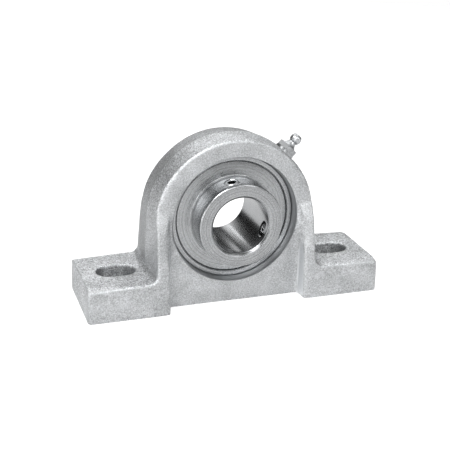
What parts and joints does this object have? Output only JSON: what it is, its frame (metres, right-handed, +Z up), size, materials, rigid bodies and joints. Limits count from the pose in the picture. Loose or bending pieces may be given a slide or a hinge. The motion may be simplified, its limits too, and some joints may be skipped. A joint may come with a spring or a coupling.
{
  "type": "pillow block bearing",
  "caption": "Cast two-bolt pillow block housing with a self-aligning set-screw insert bearing that carries a rotating shaft, and a grease nipple.",
  "frame": {"origin": "centre of the flat underside, directly below the bearing centre", "axes": "+X along the base through both bolt slots, +Y along the shaft away from the set screw collar, +Z up from the underside"},
  "size_m": [0.1682, 0.051, 0.0938],
  "materials": {
    "cast_stainless": "cast and blasted, matte",
    "ring_steel": "ground, satin",
    "cage_steel": "pressed, satin",
    "pressed_steel": "pressed, fine satin",
    "screw_steel": "machined",
    "nipple_steel": "machined, bright",
    "ball_steel": "polished",
    "seal_rubber": "matte"
  },
  "bodies": {
    "housing": {"housing": "cast_stainless", "grease_nipple": "nipple_steel", "nipple_spring": "screw_steel"},
    "outer": {"outer_ring": "ring_steel", "seal_carrier_front": "cage_steel", "seal_carrier_rear": "cage_steel", "seal_lip_front": "seal_rubber", "seal_lip_rear": "seal_rubber"},
    "inner": {"inner_ring": "ring_steel", "flinger_front": "pressed_steel", "flinger_rear": "pressed_steel"},
    "cage": {"cage_front": "cage_steel", "cage_rear": "cage_steel", "cage_rivets": "cage_steel"},
    "screw_top": {"set_screw_top": "screw_steel"},
    "screw_side": {"set_screw_side": "screw_steel"},
    "valve_ball": {"nipple_ball": "ball_steel"},
    "ball_1": {"ball_1": "ball_steel"},
    "ball_2": {"ball_2": "ball_steel"},
    "ball_3": {"ball_3": "ball_steel"},
    "ball_4": {"ball_4": "ball_steel"},
    "ball_5": {"ball_5": "ball_steel"},
    "ball_6": {"ball_6": "ball_steel"},
    "ball_7": {"ball_7": "ball_steel"},
    "ball_8": {"ball_8": "ball_steel"},
    "ball_9": {"ball_9": "ball_steel"}
  },
  "joints": [
    {"name": "self_align", "type": "hinge", "parent": "housing", "child": "outer", "pos_m": [0, 0, 0.0476], "axis": [1, 0, 0], "range_deg": [-2, 2]},
    {"name": "shaft_spin", "type": "hinge", "parent": "outer", "child": "inner", "pos_m": [0, 0, 0.0476], "axis": [0, 1, 0], "continuous": true},
    {"name": "cage_spin", "type": "hinge", "parent": "outer", "child": "cage", "pos_m": [0, 0, 0.0476], "axis": [0, 1, 0], "continuous": true},
    {"name": "screw_top_travel", "type": "slide", "parent": "inner", "child": "screw_top", "axis": [-0.1736, 0, 0.9848], "range_m": [-0.0024, 0.0015]},
    {"name": "screw_side_travel", "type": "slide", "parent": "inner", "child": "screw_side", "axis": [0.9397, 0, -0.342], "range_m": [-0.0024, 0.0015]},
    {"name": "valve_travel", "type": "slide", "parent": "housing", "child": "valve_ball", "axis": [-0.7133, 0, -0.7009], "range_m": [0, 0.0008], "stiffness_N_per_m": 150, "springref_m": -0.001, "deforming": ["nipple_spring"]},
    {"name": "ball_1_spin", "type": "hinge", "parent": "cage", "child": "ball_1", "pos_m": [0, 0, 0.07435], "axis": [0, 1, 0], "continuous": true},
    {"name": "ball_2_spin", "type": "hinge", "parent": "cage", "child": "ball_2", "pos_m": [-0.01719, 0, 0.06809], "axis": [0, 1, 0], "continuous": true},
    {"name": "ball_3_spin", "type": "hinge", "parent": "cage", "child": "ball_3", "pos_m": [-0.02634, 0, 0.05224], "axis": [0, 1, 0], "continuous": true},
    {"name": "ball_4_spin", "type": "hinge", "parent": "cage", "child": "ball_4", "pos_m": [-0.02316, 0, 0.03423], "axis": [0, 1, 0], "continuous": true},
    {"name": "ball_5_spin", "type": "hinge", "parent": "cage", "child": "ball_5", "pos_m": [-0.00915, 0, 0.02247], "axis": [0, 1, 0], "continuous": true},
    {"name": "ball_6_spin", "type": "hinge", "parent": "cage", "child": "ball_6", "pos_m": [0.00915, 0, 0.02247], "axis": [0, 1, 0], "continuous": true},
    {"name": "ball_7_spin", "type": "hinge", "parent": "cage", "child": "ball_7", "pos_m": [0.02316, 0, 0.03423], "axis": [0, 1, 0], "continuous": true},
    {"name": "ball_8_spin", "type": "hinge", "parent": "cage", "child": "ball_8", "pos_m": [0.02634, 0, 0.05224], "axis": [0, 1, 0], "continuous": true},
    {"name": "ball_9_spin", "type": "hinge", "parent": "cage", "child": "ball_9", "pos_m": [0.01719, 0, 0.06809], "axis": [0, 1, 0], "continuous": true}
  ],
  "couplings": [
    {"joint": "cage_spin", "follows": "shaft_spin", "ratio": 0.3961},
    {"joint": "ball_1_spin", "follows": "shaft_spin", "ratio": -2.3031},
    {"joint": "ball_2_spin", "follows": "shaft_spin", "ratio": -2.3031},
    {"joint": "ball_3_spin", "follows": "shaft_spin", "ratio": -2.3031},
    {"joint": "ball_4_spin", "follows": "shaft_spin", "ratio": -2.3031},
    {"joint": "ball_5_spin", "follows": "shaft_spin", "ratio": -2.3031},
    {"joint": "ball_6_spin", "follows": "shaft_spin", "ratio": -2.3031},
    {"joint": "ball_7_spin", "follows": "shaft_spin", "ratio": -2.3031},
    {"joint": "ball_8_spin", "follows": "shaft_spin", "ratio": -2.3031},
    {"joint": "ball_9_spin", "follows": "shaft_spin", "ratio": -2.3031}
  ]
}
